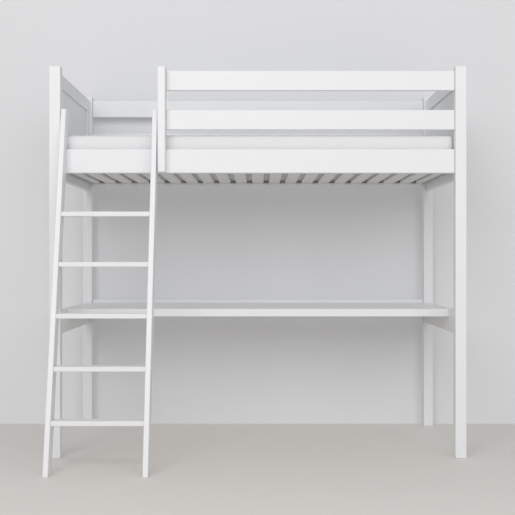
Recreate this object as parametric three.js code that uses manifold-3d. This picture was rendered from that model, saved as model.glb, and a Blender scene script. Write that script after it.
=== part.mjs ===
// Loft bed with a desk underneath, a slanted ladder and framed panel ends.
// Units are millimetres. +Z is up, +X runs along the bed and -Y is the front, where the ladder stands.
// The origin is on the floor, in the middle of everything that the bed and its ladder cover.

import * as THREE from 'three';
import { mergeVertices } from 'three/addons/utils/BufferGeometryUtils.js';
import Module from 'manifold-3d';

const wasm = await Module();
wasm.setup();

// ---- driving dimensions ----

// overall
const bedLength = 2124;
const bedDepth = 1010;
const postHeight = 1996;
const postSide = 57;

// boards
const railThickness = 25;
const arris = 2; // width of the eased edges on every board
const fit = 0.3; // clearance left wherever two pieces meet

// stub tenons on the ends of the rails
const tenonThickness = 12;
const tenonShoulder = 14; // height left off the rail above and below its tenon
const mortiseWall = 3; // wood left inside a post between two mortises

// bed sides
const sideRailBottom = 1453;
const sideRailHeight = 122;
const guardRailHeight = 101;
const guardGap = 99; // open height below each guard rail

// guard post, which closes the guard rails beside the ladder
const guardPostWidth = 39;
const guardPostProud = 57; // how far it stands in front of the rails
const guardPostAbove = 13; // its height above the top guard rail
const entryWidth = 498; // clear width between the left front post and the guard post

// slat base
const ledgerHeight = 20;
const ledgerDepth = 22;
const slatCount = 21;
const slatWidth = 67;
const endSlatWidth = 43; // the first and last slats are ripped down
const slatThickness = 14;
const slatEndClearance = 4; // from a slat's end to the side rail
const slatBaseClearance = 5.5; // from the end slats to the posts

// mattress
const mattressThickness = 164;
const mattressSideClearance = 14; // to the side rails
const mattressPastPosts = 6; // how far its rounded ends reach in between the posts
const mattressEdgeRadius = 24;
const mattressCornerRadius = 28;

// framed panel ends
const endPanelBottom = 1427;
const endFrameWidth = 73; // face width of the top rail and the stiles
const endBottomRailHeight = 148;
const panelThickness = 9;
const grooveDepth = 9;
const panelFloat = 1.5; // room for the panel to move in its groove

// desk
const deskTopHeight = 747.5;
const deskThickness = 42;
const deskFrontSetback = 261; // from the front of the posts to the front edge of the desk
const deskRebate = 6; // depth of the step in the end rails that carries the desk
const deskEndRailHeight = 122;
const deskUpstand = 19.5; // height of the rear rail above the desk

// ladder
const ladderTilt = THREE.MathUtils.degToRad(13.6);
const ladderSideGap = 3.5; // to the post on either side
const stileWidth = 26;
const stileDepth = 84;
const ladderSeat = 21; // how far the notch in a stile reaches over the side rail
const ladderRise = 202; // height of the stiles above the side rail
const rungCount = 5;
const rungSpacing = 250;
const rungThickness = 25;
const rungDepth = 70;
const rungHousing = 8; // depth of the housing in each stile
const rungArris = 3;

// bolts
const boltRadius = 3;
const boltHeadRadius = 6.5;
const boltHeadHeight = 4;
const boltBite = 38; // length of thread in the piece that is held
const boltSides = 16;
const boltEdge = 40; // from the edge of the side rail to a bolt

// ---- sizes that follow ----

const halfLength = bedLength / 2;
const halfDepth = bedDepth / 2;
const innerLength = halfLength - postSide; // from the middle of the bed to the posts
const innerDepth = halfDepth - postSide;
const railInset = (postSide - railThickness) / 2; // the rails stand in the middle of the posts
const railOuterY = halfDepth - railInset;
const railInnerY = railOuterY - railThickness;
const endOuterX = halfLength - railInset;
const endInnerX = endOuterX - railThickness;
const tenonLength = (postSide - tenonThickness) / 2 - mortiseWall;

const sideRailTop = sideRailBottom + sideRailHeight;
const guardRailBottoms = [
  sideRailTop + guardGap,
  sideRailTop + guardGap + guardRailHeight + guardGap,
];
const guardTop = guardRailBottoms[1] + guardRailHeight;
const ledgerTop = sideRailBottom + ledgerHeight;
const slatBottom = ledgerTop + fit;
const mattressBottom = slatBottom + slatThickness + fit;
const slatBaseHalf = innerLength - slatBaseClearance;
const wideSlats = (slatCount - 2) * slatWidth;
const slatGap = (2 * slatBaseHalf - 2 * endSlatWidth - wideSlats) / (slatCount - 1);

const guardPostLeft = -innerLength + entryWidth;
const guardPostRight = guardPostLeft + guardPostWidth;
const guardPostFront = -railOuterY - guardPostProud;
const guardPostTop = guardTop + guardPostAbove;

const deskRailBottom = deskTopHeight - deskEndRailHeight;
const deskFront = -halfDepth + deskFrontSetback;
const deskBottom = deskTopHeight - deskThickness;

const tiltSlope = Math.tan(ladderTilt);
const stileFootprint = stileDepth / Math.cos(ladderTilt);
const ladderTop = sideRailTop + ladderRise;
const stileBackAtFloor = -railOuterY + ladderSeat - tiltSlope * sideRailTop;
const stileFrontAtFloor = stileBackAtFloor - stileFootprint;
const ladderLeft = -innerLength + ladderSideGap;
const ladderRight = guardPostLeft - ladderSideGap;

// ---- finishes ----

const whiteWood = new THREE.MeshStandardMaterial({ color: 0xe9eaec, roughness: 0.42, metalness: 0 });
const whitePanel = new THREE.MeshStandardMaterial({ color: 0xe6e7e9, roughness: 0.48, metalness: 0 });
const slatWood = new THREE.MeshStandardMaterial({ color: 0xe2e2e1, roughness: 0.6, metalness: 0 });
const deskFinish = new THREE.MeshStandardMaterial({ color: 0xe8e9eb, roughness: 0.38, metalness: 0 });
const mattressCover = new THREE.MeshStandardMaterial({ color: 0xefeff0, roughness: 0.92, metalness: 0 });
const boltSteel = new THREE.MeshStandardMaterial({ color: 0xb9bcc0, roughness: 0.35, metalness: 1 });

// ---- solids ----

function solidOf(geometry) {
  const bare = geometry.index ? geometry.toNonIndexed() : geometry.clone();
  bare.deleteAttribute('normal');
  bare.deleteAttribute('uv');
  const merged = mergeVertices(bare, 1e-3);
  return new wasm.Manifold(new wasm.Mesh({
    numProp: 3,
    vertProperties: merged.attributes.position.array,
    triVerts: new Uint32Array(merged.index.array),
  }));
}

function geometryOf(solid) {
  const mesh = solid.getMesh();
  const geometry = new THREE.BufferGeometry();
  geometry.setAttribute('position', new THREE.BufferAttribute(mesh.vertProperties, mesh.numProp));
  geometry.setIndex(new THREE.BufferAttribute(mesh.triVerts, 1));
  return geometry;
}

// A box is given by two opposite corners.
function box(x0, x1, y0, y1, z0, z1) {
  return new THREE.Box3(new THREE.Vector3(x0, y0, z0), new THREE.Vector3(x1, y1, z1));
}

function grown(shape, by) {
  return shape.clone().expandByScalar(by);
}

function plainSolid(shape) {
  const size = shape.getSize(new THREE.Vector3());
  const centre = shape.getCenter(new THREE.Vector3());
  const geometry = new THREE.BoxGeometry(size.x, size.y, size.z);
  return solidOf(geometry.translate(centre.x, centre.y, centre.z));
}

// A rectangle with its corners cut off at 45 degrees.
function easedOutline(width, height, corner) {
  const w = width / 2;
  const h = height / 2;
  const outline = new THREE.Shape();
  outline.moveTo(-w + corner, -h);
  outline.lineTo(w - corner, -h);
  outline.lineTo(w, -h + corner);
  outline.lineTo(w, h - corner);
  outline.lineTo(w - corner, h);
  outline.lineTo(-w + corner, h);
  outline.lineTo(-w, h - corner);
  outline.lineTo(-w, -h + corner);
  outline.closePath();
  return outline;
}

// A board with every edge eased: its section is swept along Z between two bevels.
function boardSolid(shape, edge = arris) {
  const size = shape.getSize(new THREE.Vector3());
  const centre = shape.getCenter(new THREE.Vector3());
  const geometry = new THREE.ExtrudeGeometry(easedOutline(size.x, size.y, edge), {
    depth: size.z - 2 * edge,
    bevelThickness: edge,
    bevelSize: edge,
    bevelOffset: -edge,
    bevelSegments: 1,
  });
  geometry.translate(centre.x, centre.y, shape.min.z + edge);
  return solidOf(geometry);
}

// A round bar that runs along -Y from its head, as a lathe turned about Y.
function boltGeometry(length) {
  const outline = [
    [0, -length],
    [boltRadius, -length],
    [boltRadius, 0],
    [boltHeadRadius, 0],
    [boltHeadRadius, boltHeadHeight],
    [0, boltHeadHeight],
  ];
  const points = outline.map(([r, y]) => new THREE.Vector2(r, y));
  return new THREE.LatheGeometry(points, boltSides);
}

function drillSolid(x, z, yFrom, yTo) {
  const length = yTo - yFrom;
  const radius = boltRadius + fit;
  const geometry = new THREE.CylinderGeometry(radius, radius, length, boltSides);
  return solidOf(geometry.translate(x, (yFrom + yTo) / 2, z));
}

// ---- joints between boards ----

// The tenon that stands on a rail's end face, as a box: 'x' or 'y' is the rail's direction.
function tenonBox(shape, direction, side) {
  const tenon = shape.clone();
  const across = direction === 'x' ? 'y' : 'x';
  const middle = (shape.min[across] + shape.max[across]) / 2;
  tenon.min[across] = middle - tenonThickness / 2;
  tenon.max[across] = middle + tenonThickness / 2;
  tenon.min.z += tenonShoulder;
  tenon.max.z -= tenonShoulder;
  if (side > 0) {
    tenon.min[direction] = shape.max[direction] - arris * 2;
    tenon.max[direction] = shape.max[direction] + tenonLength - fit;
  } else {
    tenon.max[direction] = shape.min[direction] + arris * 2;
    tenon.min[direction] = shape.min[direction] - tenonLength + fit;
  }
  return tenon;
}

// A rail with a tenon on each end, and the mortises that take them.
const mortises = [];

function tenonedRail(shape, direction) {
  let solid = boardSolid(shape);
  for (const side of [-1, 1]) {
    const tenon = tenonBox(shape, direction, side);
    solid = solid.add(plainSolid(tenon));
    mortises.push(grown(tenon, fit));
  }
  return solid;
}

function mortised(solid) {
  return mortises.reduce((rest, mortise) => rest.subtract(plainSolid(mortise)), solid);
}

// ---- assembly ----

const bed = new THREE.Group();
const posts = new THREE.Group();
const sides = new THREE.Group();
const ends = new THREE.Group();
const base = new THREE.Group();
const ladder = new THREE.Group();
const desk = new THREE.Group();
const fixings = new THREE.Group();
bed.add(posts, sides, ends, base, ladder, desk, fixings);

// Adds a piece to its group, with its own centre as the origin of its mesh.
function addPiece(group, name, solid, material) {
  const geometry = geometryOf(solid);
  geometry.computeBoundingBox();
  const centre = geometry.boundingBox.getCenter(new THREE.Vector3());
  geometry.translate(-centre.x, -centre.y, -centre.z);
  geometry.computeVertexNormals();
  const mesh = new THREE.Mesh(geometry, material.clone());
  mesh.name = name;
  mesh.position.copy(centre);
  group.add(mesh);
  return mesh;
}

// Bolts hold the ladder and the guard post to the front side rail. Their heads are inside the bed.
const stileMiddles = [ladderLeft + stileWidth / 2, ladderRight - stileWidth / 2];
const guardPostMiddle = (guardPostLeft + guardPostRight) / 2;
const lowBolt = sideRailBottom + boltEdge + slatThickness;
const highBolt = sideRailTop - boltEdge;
const boltPlaces = [
  { name: 'ladder_bolt_left', x: stileMiddles[0], z: highBolt },
  { name: 'ladder_bolt_right', x: stileMiddles[1], z: highBolt },
  { name: 'guard_post_bolt_lower', x: guardPostMiddle, z: lowBolt },
  { name: 'guard_post_bolt_upper', x: guardPostMiddle, z: highBolt },
];
const boltLength = railThickness + boltBite;
const boltHoles = boltPlaces.map(({ x, z }) =>
  drillSolid(x, z, -railInnerY - boltLength - 2 * fit, -railInnerY + boltHeadHeight));

function drilled(solid) {
  return boltHoles.reduce((rest, hole) => rest.subtract(hole), solid);
}

function buildBolts() {
  for (const { name, x, z } of boltPlaces) {
    const bolt = solidOf(boltGeometry(boltLength).translate(x, -railInnerY + fit, z));
    addPiece(fixings, name, bolt, boltSteel);
  }
}

// The side rails, their ledgers and the guard rails.
function buildSides() {
  const reach = innerLength - fit;
  for (const [place, y0] of [['front', -railOuterY], ['rear', railInnerY]]) {
    const y1 = y0 + railThickness;
    const rail = tenonedRail(box(-reach, reach, y0, y1, sideRailBottom, sideRailTop), 'x');
    addPiece(sides, `side_rail_${place}`, drilled(rail), whiteWood);
    const left = place === 'front' ? guardPostRight + fit : -reach;
    guardRailBottoms.forEach((bottom, i) => {
      const guard = box(left, reach, y0, y1, bottom, bottom + guardRailHeight);
      const level = ['lower', 'upper'][i];
      addPiece(sides, `guard_rail_${place}_${level}`, tenonedRail(guard, 'x'), whiteWood);
    });
  }
  const ledgerOuter = railInnerY - fit;
  const ledgerInner = ledgerOuter - ledgerDepth;
  const ledgers = {
    ledger_front: [-ledgerOuter, -ledgerInner],
    ledger_rear: [ledgerInner, ledgerOuter],
  };
  for (const [name, [y0, y1]] of Object.entries(ledgers)) {
    const ledger = box(-reach, reach, y0, y1, sideRailBottom, ledgerTop);
    addPiece(sides, name, boardSolid(ledger), whiteWood);
  }
}

// The guard post stands in front of the side rail, and its back reaches over the rail's top.
function buildGuardPost() {
  const whole = box(guardPostLeft, guardPostRight, guardPostFront, -railInnerY, sideRailBottom, guardPostTop);
  const rail = box(guardPostLeft - 1, guardPostRight + 1, -railOuterY, 0, 0, sideRailTop);
  const post = mortised(boardSolid(whole)).subtract(plainSolid(grown(rail, fit)));
  addPiece(sides, 'guard_post', drilled(post), whiteWood);
}

// A panel end: two rails tenoned into the posts, two stiles between them and a panel in their grooves.
function buildEnd(place, side) {
  const x0 = side > 0 ? endInnerX : -endOuterX;
  const x1 = x0 + railThickness;
  const middleX = (x0 + x1) / 2;
  const reach = innerDepth - fit;
  const bottomRailTop = endPanelBottom + endBottomRailHeight;
  const topRailBottom = guardTop - endFrameWidth;
  const grooveHalf = panelThickness / 2 + fit;

  const openingY = reach - endFrameWidth;
  const groove = box(
    middleX - grooveHalf, middleX + grooveHalf,
    -reach - 1, reach + 1,
    bottomRailTop - grooveDepth, topRailBottom + grooveDepth,
  );
  const railShapes = {
    top: box(x0, x1, -reach, reach, topRailBottom, guardTop),
    bottom: box(x0, x1, -reach, reach, endPanelBottom, bottomRailTop),
  };
  for (const [level, shape] of Object.entries(railShapes)) {
    const rail = tenonedRail(shape, 'y').subtract(plainSolid(groove));
    addPiece(ends, `end_${level}_rail_${place}`, rail, whiteWood);
  }

  const tongueHalf = panelThickness / 2;
  const tongueEnd = grooveDepth - panelFloat;
  for (const [corner, outward] of [['front', -1], ['rear', 1]]) {
    const near = outward * openingY;
    const far = outward * reach;
    const [y0, y1] = [Math.min(near, far), Math.max(near, far)];
    const body = box(x0, x1, y0, y1, bottomRailTop + fit, topRailBottom - fit);
    const tongue = box(
      middleX - tongueHalf, middleX + tongueHalf,
      y0 + arris, y1 - arris,
      bottomRailTop - tongueEnd, topRailBottom + tongueEnd,
    );
    const panelSlot = box(
      middleX - grooveHalf, middleX + grooveHalf,
      -openingY - grooveDepth, openingY + grooveDepth,
      0, postHeight,
    );
    const stile = boardSolid(body).add(plainSolid(tongue)).subtract(plainSolid(panelSlot));
    addPiece(ends, `end_stile_${place}_${corner}`, stile, whiteWood);
  }

  const hidden = grooveDepth - panelFloat;
  const panel = box(
    middleX - tongueHalf, middleX + tongueHalf,
    -openingY - hidden, openingY + hidden,
    bottomRailTop - hidden, topRailBottom + hidden,
  );
  addPiece(ends, `end_panel_${place}`, plainSolid(panel), whitePanel);
}

// The slats lie across the two ledgers, with equal gaps between them.
function buildSlats() {
  const reach = railInnerY - slatEndClearance;
  let x = -slatBaseHalf;
  for (let i = 1; i <= slatCount; i += 1) {
    const width = i === 1 || i === slatCount ? endSlatWidth : slatWidth;
    const slat = box(x, x + width, -reach, reach, slatBottom, slatBottom + slatThickness);
    addPiece(base, `slat_${String(i).padStart(2, '0')}`, boardSolid(slat), slatWood);
    x += width + slatGap;
  }
}

function buildMattress() {
  const length = 2 * (innerLength + mattressPastPosts);
  const width = 2 * (railInnerY - mattressSideClearance);
  const w = length / 2;
  const h = width / 2;
  const r = mattressCornerRadius;
  const outline = new THREE.Shape();
  outline.moveTo(-w + r, -h);
  outline.lineTo(w - r, -h);
  outline.absarc(w - r, -h + r, r, -Math.PI / 2, 0);
  outline.lineTo(w, h - r);
  outline.absarc(w - r, h - r, r, 0, Math.PI / 2);
  outline.lineTo(-w + r, h);
  outline.absarc(-w + r, h - r, r, Math.PI / 2, Math.PI);
  outline.lineTo(-w, -h + r);
  outline.absarc(-w + r, -h + r, r, Math.PI, Math.PI * 1.5);
  const geometry = new THREE.ExtrudeGeometry(outline, {
    depth: mattressThickness - 2 * mattressEdgeRadius,
    bevelThickness: mattressEdgeRadius,
    bevelSize: mattressEdgeRadius,
    bevelOffset: -mattressEdgeRadius,
    bevelSegments: 3,
    curveSegments: 4,
  });
  geometry.translate(0, 0, mattressBottom + mattressEdgeRadius);
  addPiece(base, 'mattress', solidOf(geometry), mattressCover);
}

// The desk rails stand between the posts. The end rails are stepped to carry the ends of the desk.
function buildDesk() {
  const rearReach = innerLength - fit;
  const endReach = innerDepth - fit;
  const rearTop = deskTopHeight + deskUpstand;
  const rear = box(-rearReach, rearReach, railInnerY, railOuterY, deskRailBottom, rearTop);
  addPiece(desk, 'desk_rear_rail', tenonedRail(rear, 'x'), whiteWood);

  const deskReach = endInnerX + deskRebate - fit;
  const seat = box(
    -deskReach - fit, deskReach + fit,
    deskFront - fit, endReach,
    deskBottom - fit, deskTopHeight + 1,
  );
  for (const [place, x0] of [['left', -endOuterX], ['right', endInnerX]]) {
    const shape = box(x0, x0 + railThickness, -endReach, endReach, deskRailBottom, deskTopHeight);
    const rail = tenonedRail(shape, 'y').subtract(plainSolid(seat));
    addPiece(desk, `desk_end_rail_${place}`, rail, whiteWood);
  }

  const top = box(-deskReach, deskReach, deskFront, railInnerY - fit, deskBottom, deskTopHeight);
  let board = boardSolid(top);
  for (const side of [-1, 1]) {
    const post = box(
      side > 0 ? innerLength : -halfLength, side > 0 ? halfLength : -innerLength,
      innerDepth, halfDepth,
      0, postHeight,
    );
    board = board.subtract(plainSolid(grown(post, fit)));
  }
  addPiece(desk, 'desk_top', board, deskFinish);
}

// Side view of a stile, from the floor up: the notch takes the side rail.
function stileOutline() {
  const railFace = -railOuterY - fit;
  const seatHeight = sideRailTop + fit;
  const backAt = (z) => stileBackAtFloor + tiltSlope * z;
  const frontAt = (z) => stileFrontAtFloor + tiltSlope * z;
  const notchBottom = (railFace - stileBackAtFloor) / tiltSlope;
  const outline = new THREE.Shape();
  outline.moveTo(frontAt(0), 0);
  outline.lineTo(backAt(0), 0);
  outline.lineTo(railFace, notchBottom);
  outline.lineTo(railFace, seatHeight);
  outline.lineTo(backAt(seatHeight), seatHeight);
  outline.lineTo(backAt(ladderTop), ladderTop);
  outline.lineTo(frontAt(ladderTop), ladderTop);
  outline.closePath();
  return outline;
}

function buildLadder() {
  const housings = [];
  const innerLeft = ladderLeft + stileWidth;
  const innerRight = ladderRight - stileWidth;
  for (let i = 1; i <= rungCount; i += 1) {
    const top = i * rungSpacing;
    const middleZ = top - rungThickness / 2;
    const middleY = stileBackAtFloor - stileFootprint / 2 + tiltSlope * middleZ;
    const rung = box(
      innerLeft - rungHousing + fit, innerRight + rungHousing - fit,
      middleY - rungDepth / 2, middleY + rungDepth / 2,
      top - rungThickness, top,
    );
    housings.push(grown(rung, fit));
    addPiece(ladder, `ladder_rung_${i}`, boardSolid(rung, rungArris), whiteWood);
  }
  const sideways = new THREE.Matrix4().makeBasis(
    new THREE.Vector3(0, 1, 0),
    new THREE.Vector3(0, 0, 1),
    new THREE.Vector3(1, 0, 0),
  );
  for (const [place, x] of [['left', ladderLeft], ['right', ladderRight - stileWidth]]) {
    const geometry = new THREE.ExtrudeGeometry(stileOutline(), {
      depth: stileWidth - 2 * arris,
      bevelThickness: arris,
      bevelSize: arris,
      bevelOffset: -arris,
      bevelSegments: 1,
    });
    geometry.applyMatrix4(sideways).translate(x + arris, 0, 0);
    const whole = solidOf(geometry);
    const housed = housings.reduce((rest, housing) => rest.subtract(plainSolid(housing)), whole);
    addPiece(ladder, `ladder_stile_${place}`, drilled(housed), whiteWood);
  }
}

// The posts come last, because every mortise has to be known by then.
function buildPosts() {
  const corners = {
    post_front_left: [-halfLength, -halfDepth],
    post_front_right: [innerLength, -halfDepth],
    post_rear_left: [-halfLength, innerDepth],
    post_rear_right: [innerLength, innerDepth],
  };
  for (const [name, [x, y]] of Object.entries(corners)) {
    const post = boardSolid(box(x, x + postSide, y, y + postSide, 0, postHeight));
    addPiece(posts, name, mortised(post), whiteWood);
  }
}

buildSides();
buildGuardPost();
buildEnd('left', -1);
buildEnd('right', 1);
buildSlats();
buildMattress();
buildDesk();
buildLadder();
buildBolts();
buildPosts();

// The origin goes to the middle of the floor that the posts and the ladder's feet cover.
bed.position.y = -(halfDepth + stileFrontAtFloor) / 2;

export default bed;
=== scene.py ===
"""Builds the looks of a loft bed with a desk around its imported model."""

import math
import random

import bmesh
import bpy
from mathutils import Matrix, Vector


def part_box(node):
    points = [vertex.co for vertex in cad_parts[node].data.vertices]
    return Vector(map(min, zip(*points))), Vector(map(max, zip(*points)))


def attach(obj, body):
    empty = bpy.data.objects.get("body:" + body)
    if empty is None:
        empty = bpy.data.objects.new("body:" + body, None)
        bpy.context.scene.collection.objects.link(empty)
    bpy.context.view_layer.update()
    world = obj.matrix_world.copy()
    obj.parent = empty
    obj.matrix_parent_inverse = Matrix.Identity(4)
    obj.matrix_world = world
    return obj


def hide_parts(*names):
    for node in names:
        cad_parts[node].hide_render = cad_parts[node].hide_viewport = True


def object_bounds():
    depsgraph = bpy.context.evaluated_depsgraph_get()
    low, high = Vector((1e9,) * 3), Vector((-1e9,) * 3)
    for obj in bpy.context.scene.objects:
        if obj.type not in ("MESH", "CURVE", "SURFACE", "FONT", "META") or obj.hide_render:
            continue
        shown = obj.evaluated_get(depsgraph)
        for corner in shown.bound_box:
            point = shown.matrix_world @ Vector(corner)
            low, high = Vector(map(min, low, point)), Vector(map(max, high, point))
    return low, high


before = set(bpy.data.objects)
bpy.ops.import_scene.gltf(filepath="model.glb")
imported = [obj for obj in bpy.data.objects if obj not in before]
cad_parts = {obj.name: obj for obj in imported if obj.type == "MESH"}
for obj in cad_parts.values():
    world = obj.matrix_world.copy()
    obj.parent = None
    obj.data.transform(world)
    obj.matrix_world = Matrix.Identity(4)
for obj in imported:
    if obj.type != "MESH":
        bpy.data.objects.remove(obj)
CAD_LOW, CAD_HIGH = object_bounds()

bl_info = {
    "name": "Loft Bed with Desk",
    "version": (1, 0, 0),
    "blender": (4, 5, 0),
    "location": "3D View > Sidebar > Loft Bed",
    "description": "Builds a white loft bed with a slanted ladder, a mattress and a desk",
    "category": "Object",
}

BODY = "root"
MM = 0.001
FIT = 0.3 * MM  # clearance where two pieces meet

# Places of the colour sockets on a Mix node.
MIX_FACTOR, MIX_A, MIX_B, MIX_RESULT = 0, 6, 7, 2


# ---- settings ----

class LOFTBED_PG_wood(bpy.types.PropertyGroup):
    """Edges and finishes of the wooden pieces."""

    rounding: bpy.props.FloatProperty(
        name="Rounding",
        description="Width of the rounding on each side of an eased edge",
        default=0.85 * MM, min=0.1 * MM, max=2 * MM, precision=5, unit="LENGTH",
    )
    segments: bpy.props.IntProperty(
        name="Segments",
        description="Faces across each rounding",
        default=2, min=1, max=6,
    )
    lacquer: bpy.props.FloatVectorProperty(
        name="Lacquer",
        description="Colour of the frame, the ladder and the guard rails",
        default=(0.82, 0.828, 0.84), size=3, min=0, max=1, subtype="COLOR",
    )
    panel: bpy.props.FloatVectorProperty(
        name="Panels",
        description="Colour of the thin panels in the bed's ends",
        default=(0.80, 0.808, 0.82), size=3, min=0, max=1, subtype="COLOR",
    )
    slats: bpy.props.FloatVectorProperty(
        name="Slats",
        description="Colour of the slats",
        default=(0.78, 0.782, 0.78), size=3, min=0, max=1, subtype="COLOR",
    )
    desk: bpy.props.FloatVectorProperty(
        name="Desk",
        description="Colour of the desk top",
        default=(0.82, 0.828, 0.838), size=3, min=0, max=1, subtype="COLOR",
    )
    worn: bpy.props.FloatVectorProperty(
        name="Worn edges",
        description="Colour of the thin lacquer along the edges",
        default=(0.70, 0.69, 0.67), size=3, min=0, max=1, subtype="COLOR",
    )


class LOFTBED_PG_mattress(bpy.types.PropertyGroup):
    """Shape and cover of the mattress."""

    cell: bpy.props.FloatProperty(
        name="Quilting",
        description="Distance between two lines of quilting",
        default=100 * MM, min=40 * MM, max=300 * MM, unit="LENGTH",
    )
    steps: bpy.props.IntProperty(
        name="Steps",
        description="Faces between two lines of quilting",
        default=8, min=4, max=16,
    )
    corner_radius: bpy.props.FloatProperty(
        name="Corner radius",
        description="Radius of the four corners, seen from above",
        default=28 * MM, min=5 * MM, max=200 * MM, unit="LENGTH",
    )
    edge_radius: bpy.props.FloatProperty(
        name="Edge radius",
        description="Radius between the top and the border",
        default=27 * MM, min=5 * MM, max=60 * MM, unit="LENGTH",
    )
    crown: bpy.props.FloatProperty(
        name="Crown",
        description="Height of the middle of the top above its edges",
        default=5 * MM, min=0, max=30 * MM, unit="LENGTH",
    )
    puff: bpy.props.FloatProperty(
        name="Puff",
        description="The furthest that the filling pushes the cover out",
        default=5 * MM, min=0, max=30 * MM, unit="LENGTH",
    )
    channel: bpy.props.FloatProperty(
        name="Channel",
        description="Depth to which the quilting is drawn down",
        default=3.5 * MM, min=0, max=10 * MM, unit="LENGTH",
    )
    piping: bpy.props.FloatProperty(
        name="Piping",
        description="Radius of the piping along both seams",
        default=2.2 * MM, min=1 * MM, max=8 * MM, unit="LENGTH",
    )
    thread: bpy.props.FloatProperty(
        name="Thread",
        description="Distance between two threads of the cover",
        default=1.1 * MM, min=0.3 * MM, max=5 * MM, precision=5, unit="LENGTH",
    )
    cover: bpy.props.FloatVectorProperty(
        name="Cover",
        description="Colour of the cover",
        default=(0.80, 0.803, 0.812), size=3, min=0, max=1, subtype="COLOR",
    )
    # Darker grey of the mattress's underside: painted shade, so that the cloth seen through the gaps
    # between the slats looks shaded.
    underside_shade: bpy.props.FloatVectorProperty(
        name="Underside",
        description="Colour of the grey cloth underneath",
        default=(0.56, 0.555, 0.545), size=3, min=0, max=1, subtype="COLOR",
    )


class LOFTBED_PG_bolts(bpy.types.PropertyGroup):
    """Bolts that hold the bed together."""

    head_radius: bpy.props.FloatProperty(
        name="Head radius",
        description="Radius of a bed bolt's head",
        default=8.5 * MM, min=3 * MM, max=20 * MM, unit="LENGTH",
    )
    head_height: bpy.props.FloatProperty(
        name="Head height",
        description="Height of a bed bolt's head above the post",
        default=2.4 * MM, min=0.5 * MM, max=6 * MM, unit="LENGTH",
    )
    socket: bpy.props.FloatProperty(
        name="Socket",
        description="Width of the six-sided socket as a share of the head's radius",
        default=0.46, min=0.1, max=0.8, subtype="FACTOR",
    )
    sides: bpy.props.IntProperty(
        name="Sides",
        description="Sides of a round piece, a multiple of six",
        default=24, min=12, max=96,
    )
    steel: bpy.props.FloatVectorProperty(
        name="Steel",
        description="Colour of the zinc-plated steel",
        default=(0.52, 0.53, 0.55), size=3, min=0, max=1, subtype="COLOR",
    )


class LOFTBED_PG_stage(bpy.types.PropertyGroup):
    """Floor, lights and camera."""

    floor: bpy.props.FloatVectorProperty(
        name="Floor",
        description="Colour of the floor",
        default=(0.80, 0.77, 0.73), size=3, min=0, max=1, subtype="COLOR",
    )
    wall: bpy.props.FloatVectorProperty(
        name="Backdrop",
        description="Colour of the backdrop behind the bed",
        default=(0.80, 0.805, 0.82), size=3, min=0, max=1, subtype="COLOR",
    )
    wall_gap: bpy.props.FloatProperty(
        name="Backdrop gap",
        description="From the back of the bed to the backdrop",
        default=30 * MM, min=5 * MM, max=3, unit="LENGTH",
    )
    surroundings: bpy.props.FloatVectorProperty(
        name="Surroundings",
        description="Colour of the light that comes from all round",
        default=(0.515, 0.518, 0.528), size=3, min=0, max=1, subtype="COLOR",
    )
    key: bpy.props.FloatProperty(
        name="Key light",
        description="Power of the large light at the front, in watts",
        default=190, min=0, max=2000,
    )
    fill: bpy.props.FloatProperty(
        name="Fill light",
        description="Power of the weaker light at the side, in watts",
        default=72, min=0, max=2000,
    )
    lens: bpy.props.FloatProperty(
        name="Lens",
        description="Focal length of the camera, in millimetres",
        default=68.25, min=10, max=300,
    )
    distance: bpy.props.FloatProperty(
        name="Camera distance",
        description="From the front of the posts to the camera",
        default=4.964, min=1, max=20, unit="LENGTH",
    )
    height: bpy.props.FloatProperty(
        name="Camera height",
        description="Height of the level camera above the floor",
        default=1.0196, min=0.1, max=5, unit="LENGTH",
    )


# ---- node helpers ----

def add_node(tree, kind, inputs=None, **settings):
    """Adds a node. An input is named or numbered, and is a value or the socket that feeds it."""
    node = tree.nodes.new(kind)
    for name, value in settings.items():
        setattr(node, name, value)
    for key, value in (inputs or {}).items():
        if isinstance(value, bpy.types.NodeSocket):
            tree.links.new(value, node.inputs[key])
        else:
            node.inputs[key].default_value = value
    return node


def math_node(tree, operation, first, second=0.0):
    """The output of a Math node."""
    node = add_node(tree, "ShaderNodeMath", {0: first, 1: second}, operation=operation)
    return node.outputs[0]


def ramp(tree, value, low, high, to_low=0.0, to_high=1.0):
    """A value mapped smoothly from low..high to to_low..to_high."""
    sockets = {"Value": value, "From Min": low, "From Max": high, "To Min": to_low, "To Max": to_high}
    node = add_node(tree, "ShaderNodeMapRange", sockets, interpolation_type="SMOOTHSTEP")
    return node.outputs["Result"]


def mix_colours(tree, factor, first, second):
    """The colour between two colours."""
    sockets = {MIX_FACTOR: factor, MIX_A: first, MIX_B: second}
    node = add_node(tree, "ShaderNodeMix", sockets, data_type="RGBA")
    return node.outputs[MIX_RESULT]


def new_group(name, inputs, outputs):
    """An empty shader node group with its sockets, and the nodes that stand for them."""
    group = bpy.data.node_groups.new(name, "ShaderNodeTree")
    for label, kind, value in inputs:
        socket = group.interface.new_socket(label, in_out="INPUT", socket_type=f"NodeSocket{kind}")
        if value is not None:
            socket.default_value = value
    for label, kind in outputs:
        group.interface.new_socket(label, in_out="OUTPUT", socket_type=f"NodeSocket{kind}")
    start = group.nodes.new("NodeGroupInput").outputs
    end = group.nodes.new("NodeGroupOutput").inputs
    return group, start, end


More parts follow.
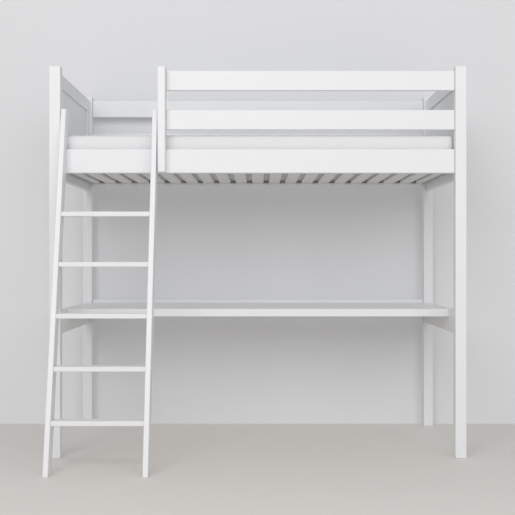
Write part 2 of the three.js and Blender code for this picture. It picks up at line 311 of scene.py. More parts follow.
def grain_group():
    """Long streaks of grain that show faintly through the paint."""
    name = "Grain Under Paint"
    if name in bpy.data.node_groups:
        return bpy.data.node_groups[name]
    inputs = [("Board", "Vector", None), ("Along", "Float", 3.0), ("Across", "Float", 60.0)]
    group, start, end = new_group(name, inputs, [("Streaks", "Float"), ("Relief", "Float")])
    scale = add_node(
        group, "ShaderNodeCombineXYZ",
        {0: start["Along"], 1: start["Across"], 2: start["Across"]},
    )
    stretched = add_node(
        group, "ShaderNodeVectorMath",
        {0: start["Board"], 1: scale.outputs[0]}, operation="MULTIPLY",
    ).outputs[0]
    broad = add_node(
        group, "ShaderNodeTexNoise",
        {"Vector": stretched, "Scale": 1.0, "Detail": 4.0, "Distortion": 0.6},
    )
    fine = add_node(
        group, "ShaderNodeTexNoise",
        {"Vector": stretched, "Scale": 5.0, "Detail": 6.0, "Roughness": 0.6},
    )
    group.links.new(ramp(group, broad.outputs[0], 0.35, 0.68), end["Streaks"])
    depth = ramp(group, broad.outputs[0], 0.3, 0.7, 0.4, 1.0)
    group.links.new(math_node(group, "MULTIPLY", fine.outputs[0], depth), end["Relief"])
    return group


def film_group():
    """The skin of a sprayed finish: a fine ripple, and patches that shine a little less."""
    name = "Sprayed Film"
    if name in bpy.data.node_groups:
        return bpy.data.node_groups[name]
    inputs = [
        ("Board", "Vector", None), ("Ripple Scale", "Float", 260.0), ("Patch Scale", "Float", 5.0),
        ("Glossy", "Float", 0.34), ("Matt", "Float", 0.46),
    ]
    group, start, end = new_group(name, inputs, [("Ripple", "Float"), ("Roughness", "Float")])
    ripple = add_node(
        group, "ShaderNodeTexNoise",
        {"Vector": start["Board"], "Scale": start["Ripple Scale"], "Detail": 2.0},
    )
    patch = add_node(
        group, "ShaderNodeTexNoise",
        {"Vector": start["Board"], "Scale": start["Patch Scale"], "Detail": 5.0, "Roughness": 0.65},
    )
    group.links.new(ripple.outputs[0], end["Ripple"])
    roughness = ramp(group, patch.outputs[0], 0.3, 0.7, start["Glossy"], start["Matt"])
    group.links.new(roughness, end["Roughness"])
    return group


def wear_group():
    """Where the film is rubbed thin along the arrises."""
    name = "Worn Arris"
    if name in bpy.data.node_groups:
        return bpy.data.node_groups[name]
    inputs = [
        ("Arris", "Float", 0.0), ("Board", "Vector", None),
        ("Amount", "Float", 0.5), ("Scale", "Float", 14.0),
    ]
    group, start, end = new_group(name, inputs, [("Wear", "Float")])
    patch = add_node(
        group, "ShaderNodeTexNoise",
        {"Vector": start["Board"], "Scale": start["Scale"], "Detail": 6.0},
    )
    rubbed = math_node(group, "MULTIPLY", start["Arris"], ramp(group, patch.outputs[0], 0.42, 0.72))
    group.links.new(math_node(group, "MULTIPLY", rubbed, start["Amount"]), end["Wear"])
    return group


def weave_group():
    """A plain weave with slubs, in metres of cloth."""
    name = "Plain Weave"
    if name in bpy.data.node_groups:
        return bpy.data.node_groups[name]
    inputs = [("Cloth", "Vector", None), ("Thread", "Float", 1.1 * MM)]
    group, start, end = new_group(name, inputs, [("Threads", "Float"), ("Slubs", "Float")])
    turns = math_node(group, "DIVIDE", math.pi, start["Thread"])
    counted = add_node(
        group, "ShaderNodeVectorMath",
        {0: start["Cloth"], "Scale": turns}, operation="SCALE",
    )
    axes = add_node(group, "ShaderNodeSeparateXYZ", {0: counted.outputs[0]}).outputs
    warp = math_node(group, "SINE", axes[0])
    weft = math_node(group, "SINE", axes[1])
    over = math_node(group, "MULTIPLY", warp, weft)
    group.links.new(math_node(group, "MULTIPLY_ADD", over, 0.5), end["Threads"])
    stretched = add_node(
        group, "ShaderNodeVectorMath",
        {0: start["Cloth"], 1: (90.0, 150.0, 1.0)}, operation="MULTIPLY",
    )
    slub = add_node(
        group, "ShaderNodeTexNoise",
        {"Vector": stretched.outputs[0], "Scale": 1.0, "Detail": 5.0},
    )
    group.links.new(ramp(group, slub.outputs[0], 0.35, 0.7), end["Slubs"])
    return group


def use_group(tree, group, inputs):
    """A group placed in a material with its own values."""
    return add_node(tree, "ShaderNodeGroup", inputs, node_tree=group).outputs


def new_material(name):
    """A material's node tree, cleared down to its shader."""
    material = bpy.data.materials.new(name)
    material.use_nodes = True
    tree = material.node_tree
    shader = next(node for node in tree.nodes if node.type == "BSDF_PRINCIPLED")
    return material, tree, shader


def opaque(colour, share=1.0):
    """A colour with its alpha, darkened to a share of itself."""
    return (*(channel * share for channel in colour), 1.0)


# ---- finishes ----

def painted_wood(name, colour, along, across, streak, relief, glossy, matt, wear):
    """White paint over wood.

    The grain's scale along and across the board is in waves a metre, its relief in metres.
    Streak is how much darker it is, and glossy to matt is the range of the roughness.
    """
    if name in bpy.data.materials:
        return bpy.data.materials[name]
    worn = bpy.context.scene.loft_bed_wood.worn
    material, tree, shader = new_material(name)
    place = add_node(tree, "ShaderNodeAttribute", attribute_name="board").outputs["Vector"]
    arris = add_node(tree, "ShaderNodeAttribute", attribute_name="arris").outputs["Fac"]
    grain = use_group(tree, grain_group(), {"Board": place, "Along": along, "Across": across})
    film = use_group(tree, film_group(), {"Board": place, "Glossy": glossy, "Matt": matt})
    rubbed = use_group(tree, wear_group(), {"Arris": arris, "Board": place, "Amount": wear})
    tone = mix_colours(tree, grain["Streaks"], opaque(colour), opaque(colour, 1 - streak))
    tree.links.new(mix_colours(tree, rubbed["Wear"], tone, opaque(worn)), shader.inputs["Base Color"])
    tree.links.new(film["Roughness"], shader.inputs["Roughness"])
    ripple = add_node(
        tree, "ShaderNodeBump",
        {"Strength": 0.25, "Distance": 0.04 * MM, "Height": film["Ripple"]},
    )
    bump = add_node(
        tree, "ShaderNodeBump",
        {"Strength": 0.6, "Distance": relief, "Height": grain["Relief"], "Normal": ripple.outputs[0]},
    )
    tree.links.new(bump.outputs[0], shader.inputs["Normal"])
    shader.inputs["IOR"].default_value = 1.48
    return material


def lacquer():
    """Satin lacquer of the frame."""
    return painted_wood(
        "white_lacquer", bpy.context.scene.loft_bed_wood.lacquer,
        along=2.2, across=55.0, streak=0.010, relief=0.05 * MM, glossy=0.34, matt=0.44, wear=0.45,
    )


def panel_lacquer():
    """Smoother lacquer on board, with no grain to speak of."""
    return painted_wood(
        "panel_lacquer", bpy.context.scene.loft_bed_wood.panel,
        along=9.0, across=12.0, streak=0.008, relief=0.02 * MM, glossy=0.40, matt=0.50, wear=0.4,
    )


def desk_lacquer():
    """Hard, even lacquer of the desk top."""
    return painted_wood(
        "desk_lacquer", bpy.context.scene.loft_bed_wood.desk,
        along=1.6, across=30.0, streak=0.010, relief=0.03 * MM, glossy=0.30, matt=0.42, wear=0.5,
    )


def slat_paint():
    """Thin matt paint of the slats, with open grain."""
    return painted_wood(
        "slat_paint", bpy.context.scene.loft_bed_wood.slats,
        along=3.5, across=90.0, streak=0.035, relief=0.14 * MM, glossy=0.55, matt=0.68, wear=0.6,
    )


def ticking():
    """Woven cover of the mattress, with a darker grey underside that paints the shade seen between the
    slats.
    """
    name = "mattress_ticking"
    if name in bpy.data.materials:
        return bpy.data.materials[name]
    cover = bpy.context.scene.loft_bed_mattress
    material, tree, shader = new_material(name)
    cloth = add_node(tree, "ShaderNodeUVMap", uv_map="cloth").outputs[0]
    weave = use_group(tree, weave_group(), {"Cloth": cloth, "Thread": cover.thread})
    slub_shade, gap_shade = 0.985, 0.90
    tone = mix_colours(tree, weave["Slubs"], opaque(cover.cover), opaque(cover.cover, slub_shade))
    between = ramp(tree, weave["Threads"], -0.3, -0.5)
    upper = mix_colours(tree, between, tone, opaque(cover.cover, gap_shade))
    # The underside faces take the darker grey, a painted shade for the gaps between the slats.
    below = add_node(tree, "ShaderNodeAttribute", attribute_name="underside_shade").outputs["Fac"]
    tree.links.new(mix_colours(tree, below, upper, opaque(cover.underside_shade)), shader.inputs["Base Color"])
    slubs = add_node(
        tree, "ShaderNodeBump",
        {"Strength": 0.25, "Distance": 0.15 * MM, "Height": weave["Slubs"]},
    )
    bump = add_node(
        tree, "ShaderNodeBump",
        {"Strength": 0.6, "Distance": 0.3 * MM, "Height": weave["Threads"], "Normal": slubs.outputs[0]},
    )
    tree.links.new(bump.outputs[0], shader.inputs["Normal"])
    shader.inputs["Roughness"].default_value = 0.92
    shader.inputs["Sheen Weight"].default_value = 0.25
    shader.inputs["Sheen Roughness"].default_value = 0.5
    return material


def zinc():
    """Zinc-plated steel, faintly mottled."""
    name = "zinc_steel"
    if name in bpy.data.materials:
        return bpy.data.materials[name]
    bolts = bpy.context.scene.loft_bed_bolts
    material, tree, shader = new_material(name)
    place = add_node(tree, "ShaderNodeAttribute", attribute_name="board").outputs["Vector"]
    film = use_group(
        tree, film_group(),
        {"Board": place, "Ripple Scale": 900.0, "Patch Scale": 220.0, "Glossy": 0.26, "Matt": 0.44},
    )
    mottle_shade = 0.8
    tone = mix_colours(tree, film["Ripple"], opaque(bolts.steel), opaque(bolts.steel, mottle_shade))
    tree.links.new(tone, shader.inputs["Base Color"])
    tree.links.new(film["Roughness"], shader.inputs["Roughness"])
    bump = add_node(
        tree, "ShaderNodeBump",
        {"Strength": 0.3, "Distance": 0.03 * MM, "Height": film["Ripple"]},
    )
    tree.links.new(bump.outputs[0], shader.inputs["Normal"])
    shader.inputs["Metallic"].default_value = 1.0
    return material


def show_front_only(tree, shader):
    """Makes the back of a surface clear, so that the bed can be seen through it from behind."""
    clear = add_node(tree, "ShaderNodeBsdfTransparent")
    behind = add_node(tree, "ShaderNodeNewGeometry").outputs["Backfacing"]
    shown = add_node(tree, "ShaderNodeMixShader", {0: behind, 1: shader.outputs[0], 2: clear.outputs[0]})
    output = next(node for node in tree.nodes if node.type == "OUTPUT_MATERIAL")
    tree.links.new(shown.outputs[0], output.inputs["Surface"])


def floor_finish():
    """Plain pale floor with the faintest mottling."""
    colour = bpy.context.scene.loft_bed_stage.floor
    material, tree, shader = new_material("pale_floor")
    place = add_node(tree, "ShaderNodeTexCoord").outputs["Object"]
    mottle = add_node(tree, "ShaderNodeTexNoise", {"Vector": place, "Scale": 3.0, "Detail": 6.0})
    mottle_shade = 0.97
    tone = mix_colours(tree, mottle.outputs[0], opaque(colour), opaque(colour, mottle_shade))
    tree.links.new(tone, shader.inputs["Base Color"])
    shader.inputs["Roughness"].default_value = 0.7
    show_front_only(tree, shader)
    return material


def wall_finish():
    """Plain matt wall whose back can't be seen."""
    colour = bpy.context.scene.loft_bed_stage.wall
    material, tree, shader = new_material("backdrop")
    shader.inputs["Base Color"].default_value = opaque(colour)
    shader.inputs["Roughness"].default_value = 0.9
    show_front_only(tree, shader)
    return material


# ---- mesh helpers ----

def mesh_from(name, shape):
    """A mesh made from a bmesh shape, which is freed."""
    mesh = bpy.data.meshes.new(name)
    shape.to_mesh(mesh)
    shape.free()
    return mesh


def keep_faces_flat(piece):
    """Shades the large faces flat and lets the narrow ones round the edges."""
    weighted = piece.modifiers.new("flat faces", "WEIGHTED_NORMAL")
    weighted.keep_sharp = False


def mesh_object(name, mesh, material):
    """A smooth-shaded object in the scene."""
    mesh.materials.clear()
    mesh.materials.append(material)
    mesh.shade_smooth()
    piece = bpy.data.objects.new(name, mesh)
    bpy.context.scene.collection.objects.link(piece)
    return piece


def hand_over(piece, slot, *nodes):
    """Rides a piece on the bed, in place of the nodes that it stands for."""
    if nodes:
        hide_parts(*nodes)
    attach(piece, BODY)
    return piece


def set_board_places(mesh, name, along):
    """Gives each point its place on its own board: length, width and thickness, in metres."""
    along = Vector(along).normalized()
    side = Vector((0, 0, 1)) if abs(along.z) < 0.5 else Vector((1, 0, 0))
    third = along.cross(side)
    draw = random.Random(name)
    farthest = 20
    shift = [draw.uniform(-farthest, farthest) for _ in range(3)]
    places = mesh.attributes.new("board", "FLOAT_VECTOR", "POINT")
    for point, place in zip(mesh.vertices, places.data):
        on_board = (point.co.dot(along), point.co.dot(side), point.co.dot(third))
        place.vector = [value + offset for value, offset in zip(on_board, shift)]


def board(node, along, material, slot):
    """A wooden piece: its CAD shape with rounded arrises, and with grain along the board."""
    wood = bpy.context.scene.loft_bed_wood
    flat = math.radians(1)
    sharp = math.radians(30)
    widest_arris = 4 * MM
    shape = bmesh.new()
    shape.from_mesh(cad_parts[node].data)
    bmesh.ops.remove_doubles(shape, verts=shape.verts, dist=0.01 * MM)
    bmesh.ops.dissolve_limit(shape, angle_limit=flat, verts=shape.verts, edges=shape.edges)
    edges = [edge for edge in shape.edges if edge.calc_face_angle(0) > sharp]
    bmesh.ops.bevel(
        shape, geom=edges, offset=wood.rounding, offset_type="OFFSET",
        segments=wood.segments, profile=0.5, affect="EDGES", clamp_overlap=False,
    )
    arris = shape.faces.layers.float.new("arris")
    for face in shape.faces:
        longest = max(edge.calc_length() for edge in face.edges)
        face[arris] = 1.0 if face.calc_area() < longest * widest_arris else 0.0
    mesh = mesh_from(f"{node}_board", shape)
    set_board_places(mesh, node, along)
    piece = mesh_object(f"{node}_board", mesh, material)
    keep_faces_flat(piece)
    return hand_over(piece, slot, node)


def nodes_like(start):
    """The names of the CAD nodes that start so, in order."""
    return sorted(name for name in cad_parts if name.startswith(start))


LENGTHWAYS = (1, 0, 0)
CROSSWAYS = (0, 1, 0)
UPRIGHT = (0, 0, 1)


# ---- mattress ----

def round_off(across, up):
    """Brings a point in a square corner to its place in a quarter circle of the same size."""
    reach = math.hypot(across, up)
    if reach == 0:
        return 0.0, 0.0
    scale = max(across, up) / reach
    return across * scale, up * scale


def slab_point(x, y, z, half, corner, edge):
    """A point on a box brought onto a slab with round corners and a round edge."""
    inner_x = max(-half.x + corner, min(half.x - corner, x))
    inner_y = max(-half.y + corner, min(half.y - corner, y))
    out_x, out_y = x - inner_x, y - inner_y
    round_x, round_y = round_off(abs(out_x), abs(out_y))
    outward = Vector((math.copysign(round_x, out_x), math.copysign(round_y, out_y)))
    reach = outward.length
    past = max(0.0, reach - (corner - edge))
    above = max(0.0, abs(z) - (half.z - edge))
    new_past, new_above = round_off(past, above)
    if reach > 0:
        outward *= (reach - past + new_past) / reach
    height = math.copysign(abs(z) - above + new_above, z)
    return Vector((inner_x + outward.x, inner_y + outward.y, height))


def slab_grid(half, step, corner, edge):
    """The slab as an even grid: its shape, the grid place of each vertex and the steps each way."""
    shape = bmesh.new()
    cloth = shape.loops.layers.uv.new("cloth")
    count = [max(2, round(2 * size / step)) for size in half]
    found = {}

    def vertex(place):
        if place not in found:
            on_box = [-size + 2 * size * i / n for size, i, n in zip(half, place, count)]
            found[place] = shape.verts.new(slab_point(*on_box, half, corner, edge))
        return found[place]

    for axis in range(3):
        first, second = (axis + 1) % 3, (axis + 2) % 3
        for level in (0, count[axis]):
            for i in range(count[first]):
                for j in range(count[second]):
                    ring = [(i, j), (i + 1, j), (i + 1, j + 1), (i, j + 1)]
                    if level == 0:
                        ring.reverse()
                    places = []
                    for a, b in ring:
                        place = [0, 0, 0]
                        place[axis], place[first], place[second] = level, a, b
                        places.append(tuple(place))
                    face = shape.faces.new([vertex(place) for place in places])
                    for loop, (a, b) in zip(face.loops, ring):
                        loop[cloth].uv = (
                            2 * half[first] * a / count[first],
                            2 * half[second] * b / count[second],
                        )
    shape.verts.index_update()
    grid = {found_vertex.index: place for place, found_vertex in found.items()}
    return shape, grid, count


def blow_up(piece, held, pressure, frames):
    """Fills a piece by cloth simulation and returns where its points end up. Held points stay."""
    scene = bpy.context.scene
    group = piece.vertex_groups.new(name="stitched")
    group.add(held, 1.0, "REPLACE")
    cloth = piece.modifiers.new("filling", "CLOTH")
    cloth.settings.vertex_group_mass = group.name
    cloth.settings.use_pressure = True
    cloth.settings.uniform_pressure_force = pressure
    cloth.settings.effector_weights.gravity = 0
    cloth.collision_settings.use_collision = False
    cloth.point_cache.frame_start = 1
    cloth.point_cache.frame_end = frames
    for moment in range(1, frames + 1):
        scene.frame_set(moment)
    evaluated = piece.evaluated_get(bpy.context.evaluated_depsgraph_get())
    moved = [point.co.copy() for point in evaluated.data.vertices]
    piece.modifiers.remove(cloth)
    piece.vertex_groups.remove(group)
    scene.frame_set(1)
    return moved


def slab_outline(half, corner, inset, z, points):
    """A closed loop round the slab, inset from its sides."""
    loop = []
    radius = corner - inset
    for sign_x, sign_y, start in ((1, 1, 0), (-1, 1, 90), (-1, -1, 180), (1, -1, 270)):
        centre = Vector((sign_x * (half.x - corner), sign_y * (half.y - corner), z))
        for i in range(points + 1):
            turn = math.radians(start + 90 * i / points)
            loop.append(centre + Vector((math.cos(turn), math.sin(turn), 0)) * radius)
    return loop


def even_loop(loop, step):
    """The same closed loop with points about a step apart."""
    spaced = []
    for here, there in zip(loop, loop[1:] + loop[:1]):
        parts = max(1, round((there - here).length / step))
        spaced.extend(here.lerp(there, i / parts) for i in range(parts))
    return spaced


def tube(name, loop, radius, sides, material):
    """A closed tube along a level loop, with its cloth measured along it."""
    shape = bmesh.new()
    cloth = shape.loops.layers.uv.new("cloth")
    rings = []
    for i, centre in enumerate(loop):
        along = (loop[(i + 1) % len(loop)] - loop[i - 1]).normalized()
        across = along.cross(Vector(UPRIGHT))
        ring = []
        for k in range(sides):
            turn = 2 * math.pi * k / sides
            ring.append(shape.verts.new(
                centre + (across * math.cos(turn) + Vector(UPRIGHT) * math.sin(turn)) * radius))
        rings.append(ring)
    travelled = 0.0
    for i, ring in enumerate(rings):
        following = rings[(i + 1) % len(rings)]
        length = (loop[(i + 1) % len(loop)] - loop[i]).length
        for k in range(sides):
            k2 = (k + 1) % sides
            face = shape.faces.new((ring[k], ring[k2], following[k2], following[k]))
            ahead = travelled + length
            spots = [(travelled, k), (travelled, k + 1), (ahead, k + 1), (ahead, k)]
            for corner, (u, v) in zip(face.loops, spots):
                corner[cloth].uv = (u, 2 * math.pi * radius * v / sides)
        travelled += length
    bmesh.ops.recalc_face_normals(shape, faces=shape.faces)
    return mesh_object(name, mesh_from(name, shape), material)


# ---- bolts ----

def hexagon(turn, flat):
    """Distance from the middle of a hexagon to its side, in the direction of turn."""
    sector = math.pi / 3
    return flat / math.cos(turn % sector - sector / 2)


def turned(shape, rings, centre, axis, sides):
    """Adds a turned piece. Each ring is (radius, height, six-sided or not) along the axis."""
    axis = Vector(axis)
    first = Vector(UPRIGHT)
    second = axis.cross(first)
    made = []
    for radius, height, six_sided in rings:
        middle = centre + axis * height
        if radius == 0:
            made.append([shape.verts.new(middle)])
            continue
        ring = []
        for k in range(sides):
            turn = 2 * math.pi * k / sides
            reach = hexagon(turn, radius) if six_sided else radius
            outward = first * math.cos(turn) + second * math.sin(turn)
            ring.append(shape.verts.new(middle + outward * reach))
        made.append(ring)
    for here, there in zip(made, made[1:]):
        for k in range(sides):
            k2 = (k + 1) % sides
            near = [here[k % len(here)], here[k2 % len(here)]]
            far = [there[k2 % len(there)], there[k % len(there)]]
            shape.faces.new(list(dict.fromkeys(near + far)))


def button_head(radius, height, socket):
    """Rings of a low domed head with a six-sided socket, from its rim to the socket's floor."""
    lip = 0.12 * height
    dome = 0.82
    bevel = 0.04
    rings = [(radius * 0.97, 0, False), (radius, lip, False)]
    for step in (0.35, 0.65, 0.88, 1.0):
        across = math.sqrt(1 - (dome * step) ** 2)
        rings.append((radius * across, lip + (height - lip) * step, False))
    rings.append((radius * (socket + bevel), height, True))
    rings.append((radius * socket, height * 0.93, True))
    rings.append((radius * socket, height * 0.30, True))
    rings.append((0, height * 0.22, False))
    return rings


def bolt_object(name, shape):
    """A finished steel piece."""
    bmesh.ops.recalc_face_normals(shape, faces=shape.faces)
    mesh = mesh_from(name, shape)
    set_board_places(mesh, name, UPRIGHT)
    piece = mesh_object(name, mesh, zinc())
    keep_faces_flat(piece)
    return piece


# ---- operators ----

class LOFTBED_OT_posts(bpy.types.Operator):
    """Build the four posts"""

    bl_idname = "loft_bed.posts"
    bl_label = "Posts"

    def execute(self, context):
        for node in nodes_like("post_"):
            board(node, UPRIGHT, lacquer(), "frame_wood")
        return {"FINISHED"}


class LOFTBED_OT_side_rails(bpy.types.Operator):
    """Build the side rails and the ledgers that carry the slats"""

    bl_idname = "loft_bed.side_rails"
    bl_label = "Side Rails"

    def execute(self, context):
        for node in nodes_like("side_rail_") + nodes_like("ledger_"):
            board(node, LENGTHWAYS, lacquer(), "frame_wood")
        return {"FINISHED"}


class LOFTBED_OT_guard_rails(bpy.types.Operator):
    """Build the guard rails and their post beside the ladder"""

    bl_idname = "loft_bed.guard_rails"
    bl_label = "Guard Rails"

    def execute(self, context):
        for node in nodes_like("guard_rail_"):
            board(node, LENGTHWAYS, lacquer(), "frame_wood")
        board("guard_post", UPRIGHT, lacquer(), "frame_wood")
        return {"FINISHED"}


class LOFTBED_OT_panel_ends(bpy.types.Operator):
    """Build the framed panels at both ends"""

    bl_idname = "loft_bed.panel_ends"
    bl_label = "Panel Ends"

    def execute(self, context):
        for node in nodes_like("end_top_rail_") + nodes_like("end_bottom_rail_"):
            board(node, CROSSWAYS, lacquer(), "frame_wood")
        for node in nodes_like("end_stile_"):
            board(node, UPRIGHT, lacquer(), "frame_wood")
        for node in nodes_like("end_panel_"):
            board(node, CROSSWAYS, panel_lacquer(), "panel_board")
        return {"FINISHED"}


class LOFTBED_OT_slats(bpy.types.Operator):
    """Build the slats across the ledgers"""

    bl_idname = "loft_bed.slats"
    bl_label = "Slats"

    def execute(self, context):
        for node in nodes_like("slat_"):
            board(node, CROSSWAYS, slat_paint(), "slat_wood")
        return {"FINISHED"}


class LOFTBED_OT_mattress(bpy.types.Operator):
    """Build the quilted mattress and its piping"""

    bl_idname = "loft_bed.mattress"
    bl_label = "Mattress"

    def execute(self, context):
        settings = context.scene.loft_bed_mattress
        low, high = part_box("mattress")
        centre = (low + high) / 2
        half = (high - low) / 2
        quilting = settings.steps
        step = settings.cell / quilting
        shape, grid, count = slab_grid(half, step, settings.corner_radius, settings.edge_radius)
        mesh = mesh_from("mattress_cover", shape)
        piece = mesh_object("mattress_cover", mesh, ticking())
        start = [point.co.copy() for point in mesh.vertices]
        # Marks the underside faces, which get the painted shade of the darker underside colour.
        underside_shade = mesh.attributes.new("underside_shade", "FLOAT", "FACE")
        for face, mark in zip(mesh.polygons, underside_shade.data):
            mark.value = float(all(grid[index][2] == 0 for index in face.vertices))

        top = count[2]
        on_edge = {
            index for index, place in grid.items()
            if sum(value in (0, n) for value, n in zip(place, count)) > 1
        }
        quilted = {
            index for index, (i, j, k) in grid.items()
            if k == top and (i % quilting == 0 or j % quilting == 0)
        }
        under = {index for index, place in grid.items() if place[2] == 0}
        held = sorted(quilted | under | on_edge)
        moved = blow_up(piece, held, pressure=12, frames=20)

        crown_from = half.z - settings.edge_radius
        for index, point in enumerate(mesh.vertices):
            push = moved[index] - start[index]
            push *= settings.puff / (settings.puff + push.length)
            place = start[index] + push
            if index in quilted and index not in on_edge:
                place.z -= settings.channel
            if start[index].z > crown_from:
                along = start[index].x / half.x
                across = start[index].y / half.y
                place.z += settings.crown * max(0, 1 - along ** 4) * max(0, 1 - across ** 4)
            point.co = place + centre
        smooth = piece.modifiers.new("smooth cover", "SUBSURF")
        smooth.levels = 1
        smooth.render_levels = 1
        hand_over(piece, "mattress_fabric", "mattress")

        self.piping(settings, centre, half)
        return {"FINISHED"}

    def piping(self, settings, centre, half):
        """Piping along the seams, halfway round the edges."""
        diagonal = settings.edge_radius * (1 - math.sqrt(0.5))
        for name, sign in (("mattress_piping_top", 1), ("mattress_piping_bottom", -1)):
            outline = slab_outline(
                half, settings.corner_radius, inset=diagonal, z=sign * (half.z - diagonal), points=8,
            )
            loop = even_loop([centre + point for point in outline], step=40 * MM)
            cord = tube(name, loop, settings.piping, sides=8, material=ticking())
            hand_over(cord, "mattress_fabric")


class LOFTBED_OT_ladder(bpy.types.Operator):
    """Build the slanted ladder"""

    bl_idname = "loft_bed.ladder"
    bl_label = "Ladder"

    def execute(self, context):
        first_low, first_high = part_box("ladder_rung_1")
        last_low, last_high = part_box("ladder_rung_5")
        slant = (last_low + last_high - first_low - first_high) / 2
        for node in nodes_like("ladder_stile_"):
            board(node, slant, lacquer(), "frame_wood")
        for node in nodes_like("ladder_rung_"):
            board(node, LENGTHWAYS, lacquer(), "frame_wood")
        return {"FINISHED"}


class LOFTBED_OT_desk(bpy.types.Operator):
    """Build the desk and the rails that carry it"""

    bl_idname = "loft_bed.desk"
    bl_label = "Desk"

    def execute(self, context):
        board("desk_top", LENGTHWAYS, desk_lacquer(), "desk_board")
        board("desk_rear_rail", LENGTHWAYS, lacquer(), "frame_wood")
        for node in nodes_like("desk_end_rail_"):
            board(node, CROSSWAYS, lacquer(), "frame_wood")
        return {"FINISHED"}


class LOFTBED_OT_bolts(bpy.types.Operator):
    """Build the bolts of the ladder, the guard post and the frame"""

    bl_idname = "loft_bed.bolts"
    bl_label = "Bolts"

    def execute(self, context):
        settings = context.scene.loft_bed_bolts
        self.held_bolts(settings)
        self.frame_bolts(settings)
        return {"FINISHED"}

    def held_bolts(self, settings):
        """Bolts through the front side rail, whose heads face the mattress."""
        shank = 3 * MM
        seat_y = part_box("side_rail_front")[1].y + FIT
        for node in nodes_like("ladder_bolt_") + nodes_like("guard_post_bolt_"):
            low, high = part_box(node)
            centre = (low + high) / 2
            seat = Vector((centre.x, seat_y, centre.z))
            tip = low.y - seat_y
            rings = [(0, tip, False), (shank, tip, False), (shank, 0, False)]
            rings += button_head((high.x - low.x) / 2, high.y - seat_y, settings.socket)
            shape = bmesh.new()
            turned(shape, rings, seat, CROSSWAYS, settings.sides)
            hand_over(bolt_object(f"{node}_steel", shape), "bolt_steel", node)

    def frame_bolts(self, settings):
        """Heads of the bolts that run through the posts into the ends of the rails.

        A tall rail has two bolts at each end and a low one has one.
        """
        rear = ["side_rail_rear", "guard_rail_rear_lower", "guard_rail_rear_upper", "desk_rear_rail"]
        rails = {
            "post_front_left": ["side_rail_front"],
            "post_front_right": ["side_rail_front", "guard_rail_front_lower", "guard_rail_front_upper"],
            "post_rear_left": rear,
            "post_rear_right": rear,
        }
        tall_rail = 110 * MM
        head = button_head(settings.head_radius, settings.head_height, settings.socket)
        for post, held in rails.items():
            low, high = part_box(post)
            outward = Vector((-1, 0, 0)) if low.x < 0 else Vector((1, 0, 0))
            face = low.x if low.x < 0 else high.x
            shape = bmesh.new()
            for rail in held:
                bottom, top = (corner.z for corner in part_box(rail))
                tall = top - bottom > tall_rail
                for share in (0.25, 0.75) if tall else (0.5,):
                    seat = Vector((face, (low.y + high.y) / 2, bottom + (top - bottom) * share))
                    turned(shape, [(0, 0, False), *head], seat, outward, settings.sides)
            hand_over(bolt_object(post.replace("post", "bed_bolts"), shape), "bolt_steel")


STAGE_REACH = 30.0  # from the middle to the edges of the floor and the backdrop, in metres


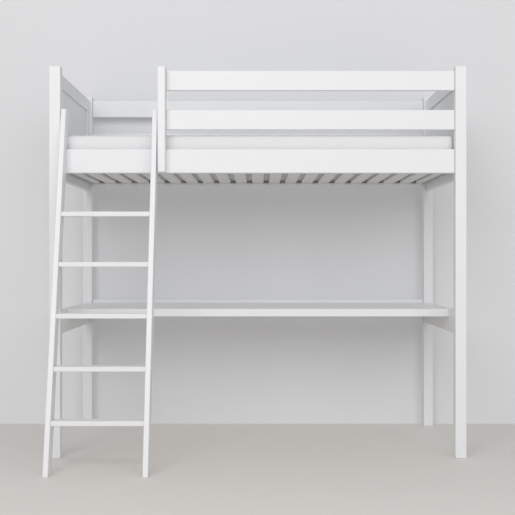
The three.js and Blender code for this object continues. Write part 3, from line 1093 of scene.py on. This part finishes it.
class LOFTBED_OT_stage(bpy.types.Operator):
    """Build the floor, the lights and the camera"""

    bl_idname = "loft_bed.stage"
    bl_label = "Stage"

    def execute(self, context):
        settings = context.scene.loft_bed_stage
        self.floor()
        self.backdrop(settings)
        self.lights(context.scene, settings)
        self.camera(context.scene, settings)
        return {"FINISHED"}

    def floor(self):
        """A large plain floor."""
        shape = bmesh.new()
        bmesh.ops.create_grid(shape, x_segments=8, y_segments=8, size=STAGE_REACH)
        bmesh.ops.translate(shape, verts=shape.verts, vec=(0, 0, CAD_LOW.z - FIT))
        mesh_object("floor", mesh_from("floor", shape), floor_finish())

    def backdrop(self, settings):
        """A wall that only the camera sees, and only from the front, so that it hides nothing."""
        top = 20.0
        y = CAD_HIGH.y + settings.wall_gap
        mesh = bpy.data.meshes.new("backdrop")
        corners = [
            (-STAGE_REACH, y, 0), (STAGE_REACH, y, 0),
            (STAGE_REACH, y, top), (-STAGE_REACH, y, top),
        ]
        mesh.from_pydata(corners, [], [(0, 1, 2, 3)])
        wall = mesh_object("backdrop", mesh, wall_finish())
        wall.visible_diffuse = False
        wall.visible_glossy = False
        wall.visible_shadow = False
        wall.visible_transmission = False

    def lights(self, scene, settings):
        """Soft light from all round, from a large key light and from a weaker fill light."""
        world = bpy.data.worlds.new("surroundings")
        world.use_nodes = True
        background = world.node_tree.nodes["Background"]
        background.inputs["Color"].default_value = opaque(settings.surroundings)
        scene.world = world
        self.area_light("key_light", settings.key, size=4.5, place=(-1.4, -6.6, 4.2))
        self.area_light("fill_light", settings.fill, size=4.5, place=(2.8, -6.4, 3.2))

    def area_light(self, name, power, size, place):
        """A square light that faces the middle of the bed."""
        light = bpy.data.lights.new(name, "AREA")
        light.energy = power
        light.size = size
        lamp = bpy.data.objects.new(name, light)
        lamp.location = place
        aim = (CAD_LOW + CAD_HIGH) / 2 - lamp.location
        lamp.rotation_euler = aim.to_track_quat("-Z", "Y").to_euler()
        bpy.context.scene.collection.objects.link(lamp)

    def camera(self, scene, settings):
        """A level camera in front of the bed."""
        data = bpy.data.cameras.new("camera")
        data.lens = settings.lens
        data.sensor_width = 36
        data.shift_x, data.shift_y = -0.0015, 0.0008
        camera = bpy.data.objects.new("camera", data)
        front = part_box("post_front_left")[0].y
        off_centre = 2.3 * MM
        camera.location = (off_centre, front - settings.distance, settings.height)
        camera.rotation_euler = (math.radians(90), 0, 0)
        scene.collection.objects.link(camera)
        scene.camera = camera
        scene.view_settings.view_transform = "Standard"


# ---- panel and registration ----

BUILDERS = (
    LOFTBED_OT_posts,
    LOFTBED_OT_side_rails,
    LOFTBED_OT_guard_rails,
    LOFTBED_OT_panel_ends,
    LOFTBED_OT_slats,
    LOFTBED_OT_mattress,
    LOFTBED_OT_ladder,
    LOFTBED_OT_desk,
    LOFTBED_OT_bolts,
    LOFTBED_OT_stage,
)


class LOFTBED_PT_sidebar(bpy.types.Panel):
    """The bed's settings, and a button for each of its pieces"""

    bl_idname = "LOFTBED_PT_sidebar"
    bl_label = "Loft Bed"
    bl_space_type = "VIEW_3D"
    bl_region_type = "UI"
    bl_category = "Loft Bed"

    def draw(self, context):
        for name in SETTINGS:
            settings = getattr(context.scene, name)
            box = self.layout.box()
            for field in settings.bl_rna.properties:
                if not field.is_readonly and field.identifier != "name":
                    box.prop(settings, field.identifier)
        for builder in BUILDERS:
            self.layout.operator(builder.bl_idname)


SETTINGS = {
    "loft_bed_wood": LOFTBED_PG_wood,
    "loft_bed_mattress": LOFTBED_PG_mattress,
    "loft_bed_bolts": LOFTBED_PG_bolts,
    "loft_bed_stage": LOFTBED_PG_stage,
}


def register():
    """Registers the classes and hangs the settings on the scene."""
    for kind in (*SETTINGS.values(), *BUILDERS, LOFTBED_PT_sidebar):
        bpy.utils.register_class(kind)
    for name, kind in SETTINGS.items():
        setattr(bpy.types.Scene, name, bpy.props.PointerProperty(type=kind))


def unregister():
    """Takes the settings and the classes away again."""
    for name in SETTINGS:
        delattr(bpy.types.Scene, name)
    for kind in reversed((*SETTINGS.values(), *BUILDERS, LOFTBED_PT_sidebar)):
        bpy.utils.unregister_class(kind)


def main():
    """Builds every piece in order."""
    register()
    for builder in BUILDERS:
        group, name = builder.bl_idname.split(".")
        getattr(getattr(bpy.ops, group), name)()


if __name__ == "__main__":
    main()
